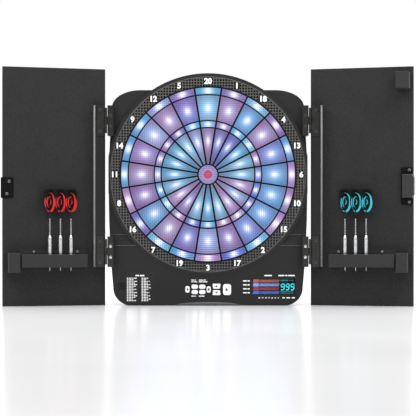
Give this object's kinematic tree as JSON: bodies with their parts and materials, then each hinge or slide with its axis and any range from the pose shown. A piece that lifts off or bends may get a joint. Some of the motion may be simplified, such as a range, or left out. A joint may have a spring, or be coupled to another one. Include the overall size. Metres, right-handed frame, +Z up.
{
  "type": "electronic dartboard cabinet",
  "caption": "Soft-tip electronic dartboard with a lit dial, button console and display, and two hinged cabinet doors holding darts.",
  "frame": {"origin": "middle of the base that the board stands on: on the plane of symmetry and at half of the housing depth", "axes": "+Z up; the dial faces -Y; +X to the right of someone facing the dial"},
  "size_m": [0.8051, 0.1177, 0.467],
  "materials": {
    "black_abs": "fine moulded grain",
    "door_board": "black pebble-grain laminate on board",
    "lit_plastic": "translucent, lit from behind",
    "red_plastic": "translucent red",
    "rubber": "moulded sheet",
    "clear_plastic": "clear sheet",
    "circuit_board": "solder-masked laminate",
    "display_module": "black numeral block",
    "printed_film": "satin film",
    "steel": "zinc plated",
    "black_metal": "black paint",
    "grey_plastic": "moulded",
    "magnet": "bare",
    "white_rubber": "smooth",
    "dart_metal": "turned and ringed",
    "flight_film": "printed film"
  },
  "bodies": {
    "housing": {"backing_plate": "clear_plastic", "board_hinge_leaves": "steel", "board_hinge_screws": "steel", "case_screws": "steel", "circuit_boards": "circuit_board", "display_digits": "display_module", "display_window": "clear_plastic", "front_housing": "black_abs", "hinge_brackets": "black_abs", "keypad_mat": "rubber", "led_board": "circuit_board", "legend_panel": "printed_film", "number_ring": "black_abs", "power_jack": "black_abs", "rear_cover": "black_abs", "sensor_mat": "rubber", "speaker": "black_abs", "spider": "black_abs"},
    "left_door": {"left_dart_holder": "black_abs", "left_door_hinge_leaves": "steel", "left_door_panel": "door_board", "left_door_screws": "steel", "left_hinge_batten": "black_abs", "left_spacer_blocks": "black_abs", "left_strike_plate": "black_metal"},
    "right_door": {"right_catch_housing": "grey_plastic", "right_catch_magnet": "magnet", "right_dart_holder": "black_abs", "right_door_hinge_leaves": "steel", "right_door_panel": "door_board", "right_door_screws": "steel", "right_hinge_batten": "black_abs", "right_spacer_blocks": "black_abs"},
    "double_segments": {"double_segments": "lit_plastic"},
    "outer_single_segments": {"outer_single_segments": "lit_plastic"},
    "triple_segments": {"triple_segments": "lit_plastic"},
    "inner_single_segments": {"inner_single_segments": "lit_plastic"},
    "outer_bull": {"outer_bull": "lit_plastic"},
    "inner_bull": {"inner_bull": "red_plastic"},
    "key_down": {"key_down": "white_rubber"},
    "key_option_1": {"key_option_1": "white_rubber"},
    "key_option_2": {"key_option_2": "white_rubber"},
    "key_option_3": {"key_option_3": "white_rubber"},
    "key_option_4": {"key_option_4": "white_rubber"},
    "key_power": {"key_power": "white_rubber"},
    "key_sound": {"key_sound": "white_rubber"},
    "key_start": {"key_start": "white_rubber"},
    "key_up": {"key_up": "white_rubber"},
    "left_dart_1": {"left_dart_1": "dart_metal", "left_dart_flight_1": "flight_film"},
    "left_dart_2": {"left_dart_2": "dart_metal", "left_dart_flight_2": "flight_film"},
    "left_dart_3": {"left_dart_3": "dart_metal", "left_dart_flight_3": "flight_film"},
    "right_dart_1": {"right_dart_1": "dart_metal", "right_dart_flight_1": "flight_film"},
    "right_dart_2": {"right_dart_2": "dart_metal", "right_dart_flight_2": "flight_film"},
    "right_dart_3": {"right_dart_3": "dart_metal", "right_dart_flight_3": "flight_film"}
  },
  "joints": [
    {"name": "left_door_swing", "type": "hinge", "parent": "housing", "child": "left_door", "pos_m": [-0.201, -0.039, 0.23], "axis": [0, 0, 1], "range_deg": [-14, 166]},
    {"name": "right_door_swing", "type": "hinge", "parent": "housing", "child": "right_door", "pos_m": [0.201, -0.039, 0.23], "axis": [0, 0, -1], "range_deg": [-14, 166]},
    {"name": "double_segments_press", "type": "slide", "parent": "housing", "child": "double_segments", "axis": [0, 1, 0], "range_m": [0, 0.0008], "stiffness_N_per_m": 400},
    {"name": "outer_single_segments_press", "type": "slide", "parent": "housing", "child": "outer_single_segments", "axis": [0, 1, 0], "range_m": [0, 0.0008], "stiffness_N_per_m": 400},
    {"name": "triple_segments_press", "type": "slide", "parent": "housing", "child": "triple_segments", "axis": [0, 1, 0], "range_m": [0, 0.0008], "stiffness_N_per_m": 400},
    {"name": "inner_single_segments_press", "type": "slide", "parent": "housing", "child": "inner_single_segments", "axis": [0, 1, 0], "range_m": [0, 0.0008], "stiffness_N_per_m": 400},
    {"name": "outer_bull_press", "type": "slide", "parent": "housing", "child": "outer_bull", "axis": [0, 1, 0], "range_m": [0, 0.0008], "stiffness_N_per_m": 400},
    {"name": "inner_bull_press", "type": "slide", "parent": "housing", "child": "inner_bull", "axis": [0, 1, 0], "range_m": [0, 0.0008], "stiffness_N_per_m": 400},
    {"name": "key_down_press", "type": "slide", "parent": "housing", "child": "key_down", "axis": [0, 1, 0], "range_m": [0, 0.0012], "stiffness_N_per_m": 250},
    {"name": "key_option_1_press", "type": "slide", "parent": "housing", "child": "key_option_1", "axis": [0, 1, 0], "range_m": [0, 0.0012], "stiffness_N_per_m": 250},
    {"name": "key_option_2_press", "type": "slide", "parent": "housing", "child": "key_option_2", "axis": [0, 1, 0], "range_m": [0, 0.0012], "stiffness_N_per_m": 250},
    {"name": "key_option_3_press", "type": "slide", "parent": "housing", "child": "key_option_3", "axis": [0, 1, 0], "range_m": [0, 0.0012], "stiffness_N_per_m": 250},
    {"name": "key_option_4_press", "type": "slide", "parent": "housing", "child": "key_option_4", "axis": [0, 1, 0], "range_m": [0, 0.0012], "stiffness_N_per_m": 250},
    {"name": "key_power_press", "type": "slide", "parent": "housing", "child": "key_power", "axis": [0, 1, 0], "range_m": [0, 0.0012], "stiffness_N_per_m": 250},
    {"name": "key_sound_press", "type": "slide", "parent": "housing", "child": "key_sound", "axis": [0, 1, 0], "range_m": [0, 0.0012], "stiffness_N_per_m": 250},
    {"name": "key_start_press", "type": "slide", "parent": "housing", "child": "key_start", "axis": [0, 1, 0], "range_m": [0, 0.0012], "stiffness_N_per_m": 250},
    {"name": "key_up_press", "type": "slide", "parent": "housing", "child": "key_up", "axis": [0, 1, 0], "range_m": [0, 0.0012], "stiffness_N_per_m": 250},
    {"name": "left_dart_1_lift", "type": "slide", "parent": "left_door", "child": "left_dart_1", "axis": [0, 0, 1], "range_m": [0, 0.06]},
    {"name": "left_dart_2_lift", "type": "slide", "parent": "left_door", "child": "left_dart_2", "axis": [0, 0, 1], "range_m": [0, 0.06]},
    {"name": "left_dart_3_lift", "type": "slide", "parent": "left_door", "child": "left_dart_3", "axis": [0, 0, 1], "range_m": [0, 0.06]},
    {"name": "right_dart_1_lift", "type": "slide", "parent": "right_door", "child": "right_dart_1", "axis": [0, 0, 1], "range_m": [0, 0.06]},
    {"name": "right_dart_2_lift", "type": "slide", "parent": "right_door", "child": "right_dart_2", "axis": [0, 0, 1], "range_m": [0, 0.06]},
    {"name": "right_dart_3_lift", "type": "slide", "parent": "right_door", "child": "right_dart_3", "axis": [0, 0, 1], "range_m": [0, 0.06]}
  ]
}
